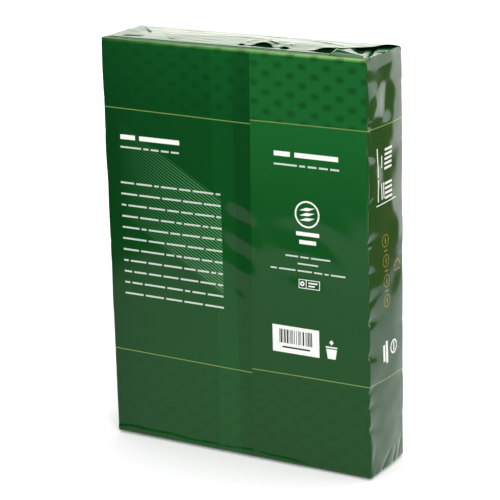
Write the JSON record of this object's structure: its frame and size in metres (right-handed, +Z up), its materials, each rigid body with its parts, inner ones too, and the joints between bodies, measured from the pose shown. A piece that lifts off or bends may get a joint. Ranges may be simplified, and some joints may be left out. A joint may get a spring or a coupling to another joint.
{
  "type": "ream of paper",
  "caption": "Ream of A4 copier paper sealed in printed green film, standing on its short end, with a lap seam and envelope-folded ends.",
  "frame": {"origin": "on the floor, under the middle of the pack", "axes": "+Z up along the sheets' long edges, +X to the right along their short edges as one faces the lap seam, +Y through the stack away from the lap seam"},
  "size_m": [0.2134, 0.0542, 0.3026],
  "materials": {
    "printed_film": "glossy laminated wrapping film, printed dark green with thin gold lines"
  },
  "bodies": {
    "root": {"wrapped_ream": "printed_film"}
  },
  "joints": []
}
